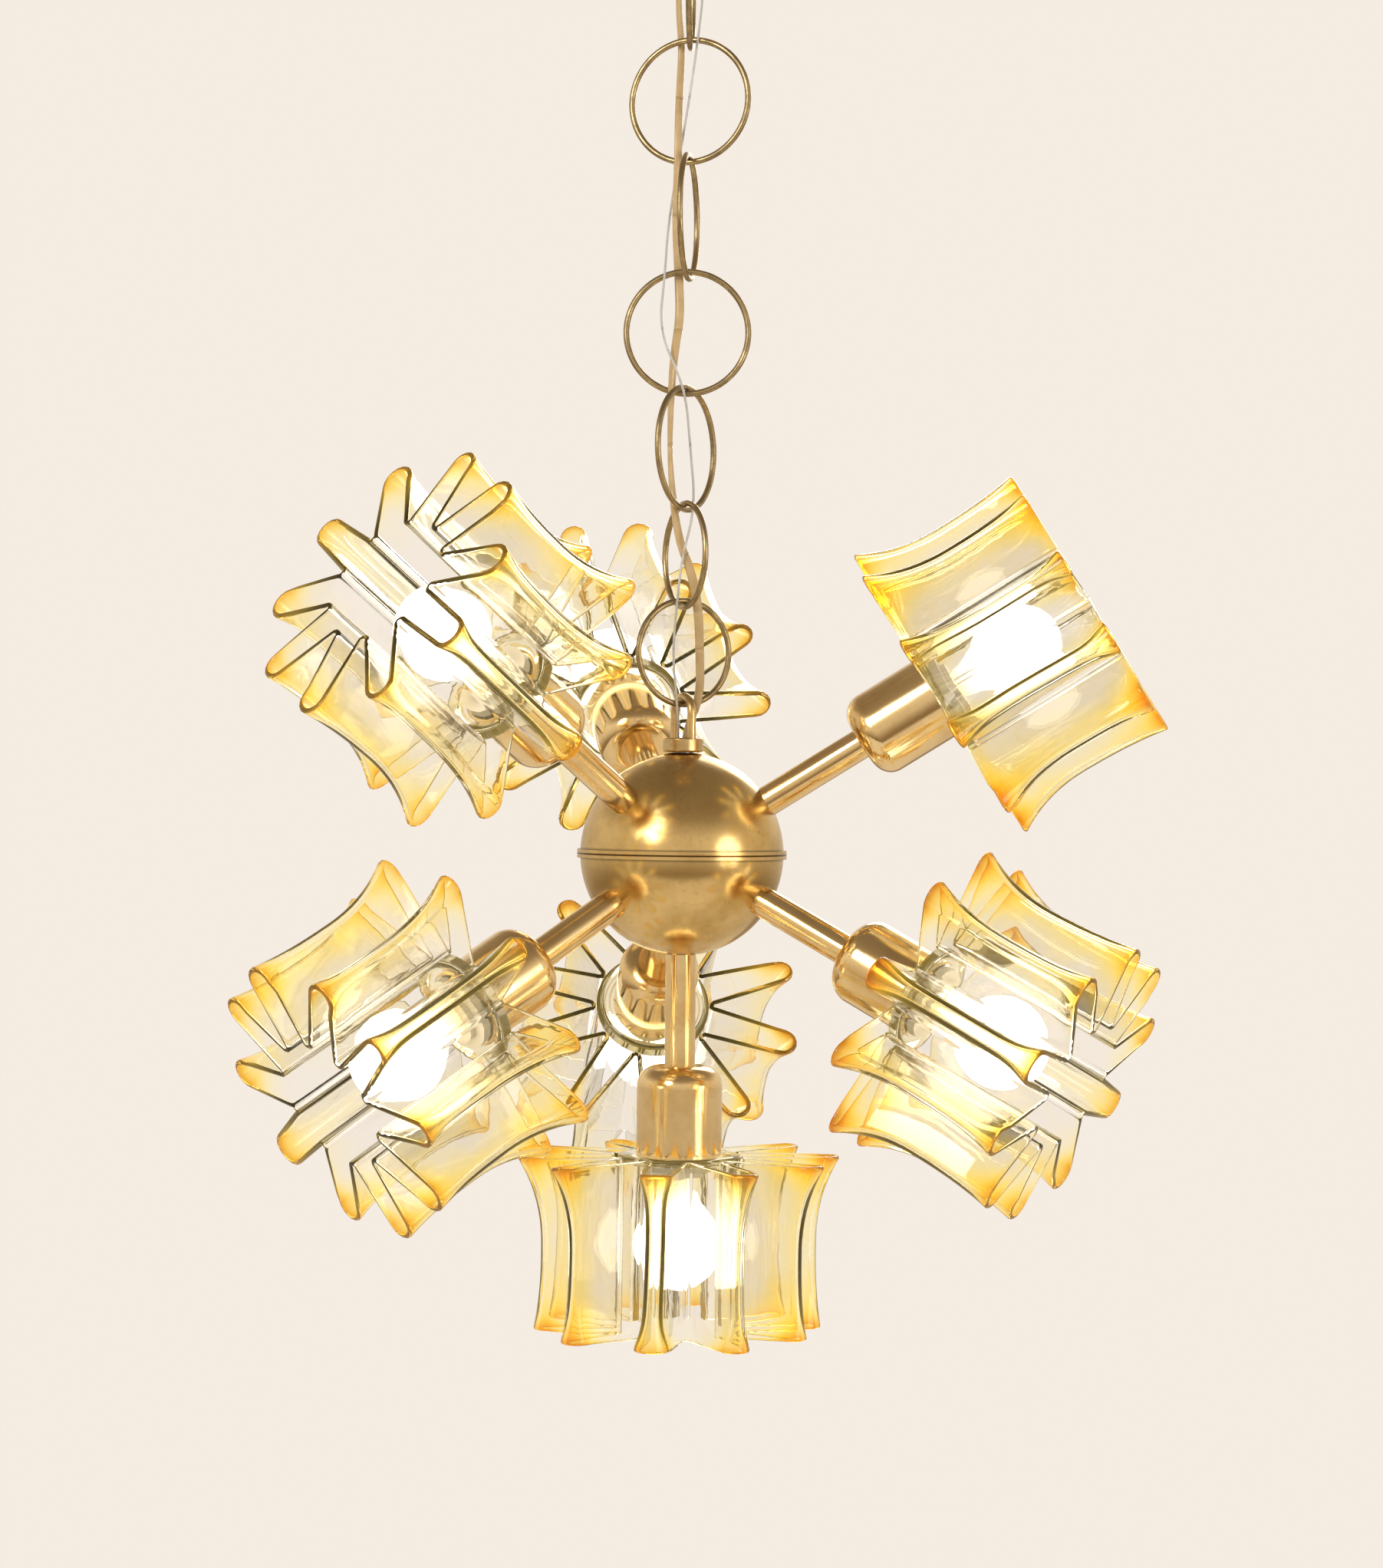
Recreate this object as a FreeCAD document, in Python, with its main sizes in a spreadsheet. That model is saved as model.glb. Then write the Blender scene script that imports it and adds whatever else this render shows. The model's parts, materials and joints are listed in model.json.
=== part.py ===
# Sputnik chandelier: brass ball with seven arms, pleated glass shades, hung on a chain of round rings.
# The origin is on the ceiling, in the middle of the crossbar; the lamp hangs towards -Z, its front is -Y.
import FreeCAD, Part
import math
import os

Vector = FreeCAD.Vector
Rotation = FreeCAD.Rotation
Placement = FreeCAD.Placement

doc = FreeCAD.newDocument("sputnik_chandelier")
sheet = doc.addObject("Spreadsheet::Sheet", "Sizes")

driving_sizes = {
    # fits
    "seat_clearance": 0.02,
    "running_clearance": 0.05,
    "bore_clearance": 0.2,
    # ceiling fitting
    "canopy_diameter": 110.0,
    "canopy_depth": 55.0,
    "canopy_wall": 1.2,
    "canopy_neck_diameter": 26.0,
    "crossbar_end_clearance": 2.8,
    "crossbar_width": 20.0,
    "crossbar_thickness": 3.0,
    "crossbar_hole_spacing": 80.0,
    "crossbar_hole_diameter": 5.0,
    "terminal_block_length": 30.0,
    "terminal_block_width": 14.0,
    "terminal_block_height": 12.0,
    # threaded rod and nuts
    "rod_diameter": 10.0,
    "rod_bore": 8.0,
    "nut_width": 14.0,
    "nut_height": 4.0,
    # stirrup loops at both ends of the chain
    "collar_diameter": 20.0,
    "collar_height": 7.0,
    "collar_floor": 2.0,
    "collar_round": 1.0,
    "stirrup_wire": 4.4,
    "stirrup_inner_width": 12.0,
    "stirrup_height": 18.0,
    # chain
    "ring_wire": 3.0,
    "large_ring_diameter": 63.0,
    "small_ring_diameter": 54.0,
    "ring_1_turn": 30.0,
    "ring_2_turn": -67.0,
    "ring_3_turn": 63.0,
    "ring_4_turn": 0.0,
    "ring_5_turn": 82.0,
    "ring_6_turn": -18.0,
    "ring_7_turn": 88.0,
    # cords
    "flex_diameter": 4.5,
    "earth_diameter": 1.2,
    # ball
    "ball_diameter": 100.0,
    "ball_wall": 1.2,
    "bead_diameter": 103.0,
    "bead_height": 2.1,
    "lip_depth": 3.0,
    # arms
    "tube_diameter": 15.0,
    "cup_start": 104.0,
    "cup_diameter": 42.0,
    "cup_length": 44.0,
    "cup_wall": 1.2,
    "cup_shoulder": 10.0,
    "rod_inner_end": 36.0,
    "rod_past_cup": 15.0,
    "azimuth_a": 228.0,
    "elevation_a": 32.0,
    "azimuth_b": 351.0,
    "elevation_b": 32.0,
    "azimuth_c": 330.0,
    "elevation_c": -26.0,
    "azimuth_d": 220.5,
    "elevation_d": -28.5,
    "azimuth_e": 104.0,
    "elevation_e": 30.0,
    "azimuth_f": 97.0,
    "elevation_f": -34.0,
    "azimuth_g": 0.0,
    "elevation_g": -90.0,
    "tube_sink": 5.0,
    # lampholder and lamp
    "holder_diameter": 27.0,
    "holder_start": 113.0,
    "holder_length": 45.0,
    "cap_diameter": 13.8,
    "cap_length": 20.0,
    "cap_insulator": 2.5,
    "cap_collar": 1.0,
    "neck_rise": 3.0,
    "contact_diameter": 4.0,
    "contact_height": 1.2,
    "globe_diameter": 45.0,
    "globe_centre": 192.0,
    "neck_diameter": 19.0,
    "thread_pitch": 2.822,
    # glass
    "pleats": 10,
    "glass_wall": 2.6,
    "glass_floor": 3.0,
    "glass_length": 86.0,
    "valley_radius": 30.0,
    "valley_half_width": 0.9,
    "inner_end_radius": 80.0,
    "waist_radius": 69.5,
    "outer_end_radius": 71.5,
    "end_half_width": 7.5,
    "waist_half_width": 4.2,
    # how each blown shade was turned about its arm when it was fitted
    "shade_turn_a": 25.0,
    "shade_turn_b": 2.0,
    "shade_turn_c": 3.0,
    "shade_turn_d": 11.0,
    "shade_turn_e": 16.0,
    "shade_turn_f": 0.0,
    "shade_turn_g": 29.0,
    "shade_ring_diameter": 38.0,
    "shade_ring_height": 4.0,
    # wiring in the ball
    "window_width": 7.0,
    "window_height": 16.0,
    "window_rise": 12.0,
    "lead_diameter": 1.6,
    "lead_run_in": 6.0,
    "tie_gap": 0.3,
}

for row, (alias, value) in enumerate(driving_sizes.items(), 1):
    sheet.set("A%d" % row, alias)
    sheet.set("B%d" % row, str(value))
    sheet.setAlias("B%d" % row, alias)
doc.recompute()

nodes = {}


def size(alias):
    return float(sheet.get(alias))


def along(placement, distance):
    return placement.multiply(Placement(Vector(0, 0, distance), Rotation()))


def cylinder(radius, height, placement):
    part = doc.addObject("Part::Cylinder", "Cylinder")
    part.setExpression("Radius", radius)
    part.setExpression("Height", height)
    part.Placement = placement
    return part


def cut(base, tool):
    part = doc.addObject("Part::Cut", "Cut")
    part.Base = base
    part.Tool = tool
    return part


def fuse(*shapes):
    part = doc.addObject("Part::MultiFuse", "Fuse")
    part.Shapes = list(shapes)
    return part


def compound(parts):
    group = doc.addObject("Part::Compound", "Group")
    group.Links = parts
    return group


def tube(outer_radius, inner_radius, height, placement):
    outer = cylinder(outer_radius, height, placement)
    bore = cylinder(inner_radius, height, placement)
    return cut(outer, bore)


def node(name, part):
    part.Label = name
    nodes[name] = part
    return part


def solid(name, shape, placement=None):
    part = doc.addObject("Part::Feature", name)
    part.Shape = shape
    if placement:
        part.Placement = placement
    return part


def turned(name, outline, placement):
    # outline: (radius, height) corners; a corner with four numbers is the end of an arc,
    # given as the arc's middle point and then its end
    sketch = doc.addObject("Sketcher::SketchObject", name + "_profile")
    sketch.Placement = placement.multiply(Placement(Vector(), Rotation(Vector(1, 0, 0), 90)))
    start = Vector(*outline[0], 0)
    first = start
    for corner in outline[1:]:
        if len(corner) == 4:
            end = Vector(corner[2], corner[3], 0)
            sketch.addGeometry(Part.Arc(start, Vector(corner[0], corner[1], 0), end), False)
        else:
            end = Vector(corner[0], corner[1], 0)
            sketch.addGeometry(Part.LineSegment(start, end), False)
        start = end
    sketch.addGeometry(Part.LineSegment(start, first), False)
    part = doc.addObject("Part::Revolution", name)
    part.Source = sketch
    part.Base = placement.Base
    part.Axis = placement.Rotation.multVec(Vector(0, 0, 1))
    part.Angle = 360.0
    part.Solid = True
    return part


def arc_corner(centre_radius, centre_height, radius, start_angle, end_angle):
    # one corner for turned(): the arc's middle and end, by angles in the section plane
    middle = math.radians((start_angle + end_angle) / 2)
    end = math.radians(end_angle)
    return (
        centre_radius + radius * math.cos(middle),
        centre_height + radius * math.sin(middle),
        centre_radius + radius * math.cos(end),
        centre_height + radius * math.sin(end),
    )


def nut(placement):
    prism = doc.addObject("Part::Prism", "Prism")
    prism.Polygon = 6
    prism.setExpression("Circumradius", "Sizes.nut_width / 2 / cos(30 deg)")
    prism.setExpression("Height", "Sizes.nut_height")
    prism.Placement = placement
    bore = cylinder("Sizes.rod_diameter / 2 + Sizes.seat_clearance", "Sizes.nut_height", placement)
    return cut(prism, bore)


# ---- heights, worked down from the ceiling ----
rod_radius = size("rod_diameter") / 2
wire_radius = size("ring_wire") / 2
stirrup_radius = size("stirrup_wire") / 2
contact_step = wire_radius + stirrup_radius + size("running_clearance")
ring_step = size("ring_wire") + size("running_clearance")
canopy_bottom = -size("canopy_depth")
canopy_collar_bottom = canopy_bottom - size("collar_height")
canopy_loop_wire = canopy_collar_bottom - size("stirrup_height") - stirrup_radius

ring_mean_radius = {}
ring_turn = {}
for number in range(1, 8):
    outer = size("small_ring_diameter") if number < 3 else size("large_ring_diameter")
    ring_mean_radius[number] = outer / 2 - wire_radius
    ring_turn[number] = size("ring_%d_turn" % number)

ring_centre = {}
top_wire = canopy_loop_wire + contact_step
for number in range(7, 0, -1):
    ring_centre[number] = top_wire - ring_mean_radius[number]
    top_wire = ring_centre[number] - ring_mean_radius[number] + ring_step
lowest_wire = ring_centre[1] - ring_mean_radius[1]
ball_loop_wire = lowest_wire + contact_step
ball_radius = size("ball_diameter") / 2
ball_height = ball_loop_wire - stirrup_radius - size("stirrup_height") - size("collar_height") - ball_radius
ball_centre = Vector(0, 0, ball_height)
upright = Placement()


# ---- ceiling fitting ----
def crossbar():
    # its corners stop short of the canopy's inside by the end clearance
    corner_reach = size("canopy_diameter") / 2 - size("canopy_wall") - size("crossbar_end_clearance")
    half_length = math.sqrt(corner_reach ** 2 - (size("crossbar_width") / 2) ** 2)
    bar = doc.addObject("Part::Box", "Bar")
    bar.Length = 2 * half_length
    bar.setExpression("Width", "Sizes.crossbar_width")
    bar.setExpression("Height", "Sizes.crossbar_thickness")
    low_corner = Vector(-half_length, -size("crossbar_width") / 2, -size("crossbar_thickness"))
    bar.Placement = Placement(low_corner, Rotation())
    bottom = -size("crossbar_thickness")
    tools = [cylinder("Sizes.rod_diameter / 2 + Sizes.seat_clearance", "Sizes.crossbar_thickness",
                      along(upright, bottom))]
    for side in (-1, 1):
        spot = Placement(Vector(side * size("crossbar_hole_spacing") / 2, 0, bottom), Rotation())
        tools.append(cylinder("Sizes.crossbar_hole_diameter / 2", "Sizes.crossbar_thickness", spot))
    node("crossbar", cut(bar, fuse(*tools)))


def canopy():
    rim = size("canopy_diameter") / 2
    neck = size("canopy_neck_diameter") / 2
    wall = size("canopy_wall")
    bore = rod_radius + size("bore_clearance")
    skirt = canopy_bottom / 4
    outline = [
        (rim, 0),
        (rim, skirt),
        (rim * 0.72, canopy_bottom * 0.78, neck, canopy_bottom),
        (bore, canopy_bottom),
        (bore, canopy_bottom + wall),
        (neck, canopy_bottom + wall),
        (rim * 0.72 - wall * 0.6, canopy_bottom * 0.78 + wall * 0.8, rim - wall, skirt),
        (rim - wall, 0),
    ]
    node("canopy", turned("canopy", outline, upright))


def ceiling_nipple():
    bottom = canopy_collar_bottom + size("collar_floor")
    node("ceiling_nipple", tube("Sizes.rod_diameter / 2", "Sizes.rod_bore / 2",
                                "Sizes.canopy_depth + Sizes.collar_height - Sizes.collar_floor - Sizes.seat_clearance",
                                along(upright, bottom)))
    under_bar = -size("crossbar_thickness") - size("seat_clearance") - size("nut_height")
    on_canopy = canopy_bottom + size("canopy_wall") + size("seat_clearance")
    node("nipple_nuts", compound([nut(along(upright, under_bar)), nut(along(upright, on_canopy))]))


def stirrup_loop(name, collar_placement):
    # collar with a bent round wire below it, in the local frame: collar from 0 up, stirrup down
    arch_radius = size("stirrup_inner_width") / 2 + stirrup_radius
    leg_end = -(size("stirrup_height") - size("stirrup_inner_width") / 2)
    bury = 1.0
    up_left = Vector(-arch_radius, 0, bury)
    low_left = Vector(-arch_radius, 0, leg_end)
    low_right = Vector(arch_radius, 0, leg_end)
    up_right = Vector(arch_radius, 0, bury)
    arc = Part.Arc(low_left, Vector(0, 0, leg_end - arch_radius), low_right).toShape()
    path = Part.Wire([Part.makeLine(up_left, low_left), arc, Part.makeLine(low_right, up_right)])
    section = Part.Wire(Part.makeCircle(stirrup_radius, up_left, Vector(0, 0, 1)))
    stirrup = path.makePipeShell([section], True, False)
    collar_shape = Part.makeCylinder(size("collar_diameter") / 2, size("collar_height"))
    collar_shape = collar_shape.makeFillet(size("collar_round"), [collar_shape.Edges[0], collar_shape.Edges[2]])
    shape = collar_shape.fuse(stirrup)
    floor = size("collar_floor") - size("seat_clearance")
    rod_bore = Part.makeCylinder(rod_radius + size("seat_clearance"), size("collar_height"), Vector(0, 0, floor))
    through = Part.makeCylinder(size("rod_bore") / 2, size("collar_height") + 2, Vector(0, 0, -1))
    shape = shape.cut(rod_bore).cut(through)
    node(name, solid(name, shape, collar_placement))


def canopy_terminal_block():
    block = doc.addObject("Part::Box", "Block")
    block.setExpression("Length", "Sizes.terminal_block_width")
    block.setExpression("Width", "Sizes.terminal_block_length")
    block.setExpression("Height", "Sizes.terminal_block_height")
    drop = size("crossbar_thickness") + size("seat_clearance") + size("terminal_block_height")
    beside = size("nut_width")
    block.Placement = Placement(Vector(beside, -size("terminal_block_length") / 2, -drop), Rotation())
    node("canopy_terminal_block", block)


# ---- chain ----
def chain():
    for number in range(1, 8):
        ring = doc.addObject("Part::Torus", "Ring")
        diameter = "small_ring_diameter" if number < 3 else "large_ring_diameter"
        ring.setExpression("Radius1", "(Sizes.%s - Sizes.ring_wire) / 2" % diameter)
        ring.setExpression("Radius2", "Sizes.ring_wire / 2")
        turn = Rotation(Vector(0, 0, 1), ring_turn[number])
        ring.Placement = Placement(Vector(0, 0, ring_centre[number]), turn.multiply(Rotation(Vector(1, 0, 0), 90)))
        node("chain_ring_%d" % number, ring)


# ---- cords: points from the top down, heights above the ball's centre ----
flex_route = [
    (-1.3, 0.0, 526.0),
    (-1.1, 0.2, 505.0),
    (-1.3, -0.1, 485.0),
    (-0.5, 0.4, 470.0),
    (-6.2, -6.5, 453.0),
    (-5.6, -5.2, 436.0),
    (-6.0, 1.5, 416.0),
    (-4.1, 7.4, 398.0),
    (-4.9, 4.0, 379.0),
    (-5.5, -2.0, 359.0),
    (-5.4, -3.6, 340.0),
    (-6.2, 0.8, 312.0),
    (-4.4, 5.2, 284.0),
    (-3.6, 2.6, 264.0),
    (-6.4, -3.0, 245.0),
    (-7.6, -5.0, 226.0),
    (-8.2, -1.5, 198.0),
    (-5.8, 0.4, 170.0),
    (-2.6, 0.3, 153.0),
    (3.4, -1.4, 138.0),
    (6.8, -2.4, 121.0),
    (7.8, -0.6, 98.0),
    (8.2, -1.4, 77.0),
    (1.2, -0.8, 60.0),
    (1.1, -0.3, 46.0),
    (1.3, 0.0, 32.0),
]
earth_route = [
    (2.6, 0.0, 526.0),
    (2.8, 0.2, 500.0),
    (2.5, -0.1, 470.0),
    (4.8, -5.1, 450.0),
    (6.4, -1.4, 425.0),
    (3.6, -4.4, 398.0),
    (-0.5, -5.1, 368.0),
    (-5.2, 6.2, 341.0),
    (-10.0, 4.0, 311.0),
    (-11.3, -3.6, 284.0),
    (-14.0, -4.6, 256.0),
    (-0.7, -10.6, 228.0),
    (2.2, -8.4, 198.0),
    (4.8, -2.7, 170.0),
    (-1.4, -3.6, 146.0),
    (-3.8, -6.2, 122.0),
    (-5.6, -3.8, 98.0),
    (-3.4, -6.3, 77.0),
    (-2.3, -1.3, 58.0),
    (-2.4, 0.4, 45.0),
    (-2.6, 0.0, 32.0),
]


def cord_shape(name, points, diameter):
    # straight runs joined by tangent arcs, each as large as its two runs allow
    edges = []
    radii = []
    start = points[0]
    for before, corner, after in zip(points, points[1:], points[2:]):
        arriving = corner - before
        leaving = after - corner
        turn = arriving.getAngle(leaving)
        reach = 0.45 * min(arriving.Length, leaving.Length)
        radius = reach / math.tan(turn / 2)
        bend_start = corner - Vector(arriving).normalize() * reach
        bend_end = corner + Vector(leaving).normalize() * reach
        to_centre = ((bend_start + bend_end) * 0.5 - corner).normalize()
        middle = corner + to_centre * (math.hypot(radius, reach) - radius)
        edges.append(Part.LineSegment(start, bend_start).toShape())
        edges.append(Part.Arc(bend_start, middle, bend_end).toShape())
        radii.append(radius)
        start = bend_end
    edges.append(Part.LineSegment(start, points[-1]).toShape())
    path = Part.Wire(edges)
    section = Part.Wire(Part.makeCircle(diameter / 2, points[0], points[1] - points[0]))
    shape = path.makePipeShell([section], True, False)
    share = shape.Volume / (math.pi * diameter ** 2 / 4 * path.Length)
    print("%s: length %.1f, least radius %.1f, volume %.4f of expected" % (name, path.Length, min(radii), share))
    return shape


def cord(name, route, diameter):
    points = [Vector(x, y, ball_height + z) for x, y, z in route]
    node(name, solid(name, cord_shape(name, points, diameter)))


# ---- ball ----
arm_names = "abcdefg"
arm_place = {}
for arm in arm_names:
    swing = Rotation(Vector(0, 0, 1), size("azimuth_" + arm))
    tilt = Rotation(Vector(0, 1, 0), 90 - size("elevation_" + arm))
    arm_place[arm] = Placement(ball_centre, swing.multiply(tilt))


def hemisphere(name, upper):
    outer = doc.addObject("Part::Sphere", "Shell")
    inner = doc.addObject("Part::Sphere", "Hollow")
    outer.setExpression("Radius", "Sizes.ball_diameter / 2")
    inner.setExpression("Radius", "Sizes.ball_diameter / 2 - Sizes.ball_wall")
    for half in (outer, inner):
        half.Angle1 = 0 if upper else -90
        half.Angle2 = 90 if upper else 0
        half.Placement = Placement(ball_centre, Rotation())
    gap = size("seat_clearance") / 2
    bead_low = gap if upper else -gap - size("bead_height")
    bead = cylinder("Sizes.bead_diameter / 2", "Sizes.bead_height", Placement(ball_centre + Vector(0, 0, bead_low), Rotation()))
    rim_part = fuse(outer, bead)
    # the two shells stop short of each other by the seat clearance
    seam = cylinder("Sizes.bead_diameter", "Sizes.seat_clearance / 2",
                    Placement(ball_centre + Vector(0, 0, 0 if upper else -gap), Rotation()))
    core_low = 0 if upper else -size("bead_height") - gap
    core = cylinder("Sizes.ball_diameter / 2 - Sizes.ball_wall", "Sizes.bead_height + Sizes.seat_clearance / 2",
                    Placement(ball_centre + Vector(0, 0, core_low), Rotation()))
    tools = [inner, seam, core]
    reach = "Sizes.ball_diameter / 2 + Sizes.ball_wall"
    for arm in arm_names:
        if (size("elevation_" + arm) > 0) == upper:
            tools.append(cylinder("Sizes.rod_diameter / 2 + Sizes.bore_clearance", reach, arm_place[arm]))
    if upper:
        tools.append(cylinder("Sizes.rod_diameter / 2 + Sizes.bore_clearance", reach, Placement(ball_centre, Rotation())))
    shell = cut(rim_part, fuse(*tools))
    if not upper:
        node(name, shell)
        return
    # locating lip inside the seam
    lip_place = Placement(ball_centre + Vector(0, 0, -size("lip_depth")), Rotation())
    lip = tube("Sizes.ball_diameter / 2 - Sizes.ball_wall - Sizes.bore_clearance",
               "Sizes.ball_diameter / 2 - 2 * Sizes.ball_wall - Sizes.bore_clearance",
               "Sizes.lip_depth + Sizes.bead_height", lip_place)
    bridge_place = Placement(ball_centre + Vector(0, 0, gap), Rotation())
    bridge = tube("Sizes.ball_diameter / 2", "Sizes.ball_diameter / 2 - 2 * Sizes.ball_wall - Sizes.bore_clearance",
                  "Sizes.bead_height", bridge_place)
    node(name, fuse(shell, lip, bridge))


def centre_rod():
    # runs from the hanging loop's collar down through the ball into the bottom cup
    low = ball_height - size("cup_start") - size("cup_wall") - size("rod_past_cup")
    rod_place = Placement(Vector(0, 0, low), Rotation())
    below = "Sizes.cup_start + Sizes.cup_wall + Sizes.rod_past_cup"
    above = "Sizes.ball_diameter / 2 + Sizes.collar_height - Sizes.collar_floor"
    rod = tube("Sizes.rod_diameter / 2", "Sizes.rod_bore / 2", below + " + " + above, rod_place)
    # window where the leads leave the bore
    window = doc.addObject("Part::Box", "Window")
    window.setExpression("Length", "Sizes.window_width")
    window.setExpression("Width", "Sizes.rod_diameter")
    window.setExpression("Height", "Sizes.window_height")
    window.Placement = Placement(Vector(-size("window_width") / 2, 0, ball_height + size("window_rise")), Rotation())
    node("centre_rod", cut(rod, window))


def arm_rods():
    rods = []
    for arm in arm_names[:6]:
        place = along(arm_place[arm], size("rod_inner_end"))
        rods.append(tube("Sizes.rod_diameter / 2", "Sizes.rod_bore / 2",
                         "Sizes.cup_start + Sizes.cup_wall + Sizes.rod_past_cup - Sizes.rod_inner_end", place))
    node("arm_rods", compound(rods))


def rod_nuts():
    nuts = []
    corner = size("nut_width") / 2 / math.cos(math.radians(30))
    inner_radius = ball_radius - size("ball_wall")
    inside_ball = math.sqrt(inner_radius ** 2 - corner ** 2) - size("nut_height") - size("seat_clearance")
    inside_cup = size("cup_start") + size("cup_wall") + size("seat_clearance")
    for arm in arm_names:
        nuts.append(nut(along(arm_place[arm], inside_ball)))
        nuts.append(nut(along(arm_place[arm], inside_cup)))
    nuts.append(nut(Placement(ball_centre + Vector(0, 0, inside_ball), Rotation())))
    node("rod_nuts", compound(nuts))


block_low_corner = Vector(-size("terminal_block_length") / 2, rod_radius + size("tie_gap"),
                          -size("terminal_block_height") / 2)


def terminal_block():
    block = doc.addObject("Part::Box", "Block")
    block.setExpression("Length", "Sizes.terminal_block_length")
    block.setExpression("Width", "Sizes.terminal_block_width")
    block.setExpression("Height", "Sizes.terminal_block_height")
    block.Placement = Placement(ball_centre + block_low_corner, Rotation())
    node("terminal_block", block)


def lamp_wires():
    # one lead from the block's top or bottom face into each arm's rod and on to its lampholder
    leads = []
    far_end = size("cup_start") + size("cup_wall") + size("rod_past_cup") - size("seat_clearance")
    beside_axis = size("rod_bore") / 2 - size("lead_diameter") / 2 - size("tie_gap")
    block_middle = rod_radius + size("tie_gap") + size("terminal_block_width") / 2
    spacing = size("terminal_block_length") / 4
    for arm, clamp in (("a", -1), ("e", 0), ("b", 1), ("d", -1), ("f", 0), ("c", 1)):
        side = 1 if size("elevation_" + arm) > 0 else -1
        face = side * (size("terminal_block_height") / 2 + size("tie_gap") + size("lead_diameter") / 2)
        at_block = ball_centre + Vector(clamp * spacing, block_middle, face)
        at_holder = arm_place[arm].multVec(Vector(-beside_axis, 0, far_end))
        at_mouth = arm_place[arm].multVec(Vector(-beside_axis, 0, size("rod_inner_end") - size("lead_run_in")))
        leads.append(cord_shape("lead " + arm, [at_block, at_mouth, at_holder], size("lead_diameter")))
    node("lamp_wires", solid("lamp_wires", Part.makeCompound(leads)))


# ---- arms ----
def arm_tube(arm):
    # starts inside the ball's skin, and its end is then cut to the ball's curve
    place = along(arm_place[arm], ball_radius - size("tube_sink"))
    reach = "Sizes.cup_start - Sizes.ball_diameter / 2 + Sizes.tube_sink"
    outer = cylinder("Sizes.tube_diameter / 2", reach + " - Sizes.seat_clearance", place)
    bore = cylinder("Sizes.rod_diameter / 2 + Sizes.bore_clearance", reach, place)
    seat = doc.addObject("Part::Sphere", "Seat")
    seat.setExpression("Radius", "Sizes.ball_diameter / 2 + Sizes.seat_clearance")
    seat.Placement = Placement(ball_centre, Rotation())
    node("arm_tube_" + arm, cut(outer, fuse(bore, seat)))


def socket_cup(arm):
    radius = size("cup_diameter") / 2
    wall = size("cup_wall")
    shoulder = size("cup_shoulder")
    start = size("cup_start")
    end = start + size("cup_length")
    bore = rod_radius + size("bore_clearance")
    inner = shoulder - wall
    outline = [
        (bore, start),
        (radius - shoulder, start),
        arc_corner(radius - shoulder, start + shoulder, shoulder, -90, 0),
        (radius, end),
        (radius - wall, end),
        (radius - wall, start + shoulder),
        arc_corner(radius - shoulder, start + shoulder, inner, 0, -90),
        (bore, start + wall),
    ]
    node("socket_cup_" + arm, turned("cup", outline, arm_place[arm]))


cap_end = size("holder_start") + size("holder_length") - size("cap_length")


def lampholders():
    holders = []
    for arm in arm_names:
        body = cylinder("Sizes.holder_diameter / 2", "Sizes.holder_length", along(arm_place[arm], size("holder_start")))
        socket_depth = "Sizes.cap_length + Sizes.contact_height"
        socket = cylinder("Sizes.cap_diameter / 2 + Sizes.running_clearance", socket_depth,
                          along(arm_place[arm], cap_end - size("contact_height")))
        seat = cylinder("Sizes.rod_diameter / 2 + Sizes.seat_clearance",
                        "Sizes.cup_start + Sizes.cup_wall + Sizes.rod_past_cup - Sizes.holder_start + Sizes.seat_clearance",
                        along(arm_place[arm], size("holder_start")))
        holders.append(cut(body, fuse(socket, seat)))
    node("lampholders", compound(holders))


def bulb(arm):
    cap = size("cap_diameter") / 2
    contact = size("contact_diameter") / 2
    globe = size("globe_diameter") / 2
    centre = size("globe_centre")
    neck = size("neck_diameter") / 2
    cap_top = cap_end + size("cap_length")
    meet = -35.0
    meet_point = (globe * math.cos(math.radians(meet)), centre + globe * math.sin(math.radians(meet)))
    outline = [
        (0, cap_end + size("seat_clearance")),
        (contact, cap_end + size("seat_clearance")),
        (cap, cap_end + size("cap_insulator")),
        (cap, cap_top + size("cap_collar")),
        (neck, cap_top + size("neck_rise")),
        meet_point,
        arc_corner(0, centre, globe, meet, 90),
    ]
    node("bulb_" + arm, turned("bulb", outline, arm_place[arm]))
    node("bulb_contact_" + arm, cylinder("Sizes.contact_diameter / 2", "Sizes.contact_height - Sizes.seat_clearance",
                                         along(arm_place[arm], cap_end - size("contact_height") + size("seat_clearance"))))


glass_start = size("cup_start") + size("cup_length") + size("seat_clearance")


def shade_rings():
    rings = []
    for arm in arm_names:
        start = glass_start + size("glass_floor") + size("seat_clearance")
        rings.append(tube("Sizes.shade_ring_diameter / 2", "Sizes.holder_diameter / 2 + Sizes.seat_clearance",
                          "Sizes.shade_ring_height", along(arm_place[arm], start)))
    node("shade_rings", compound(rings))


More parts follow.
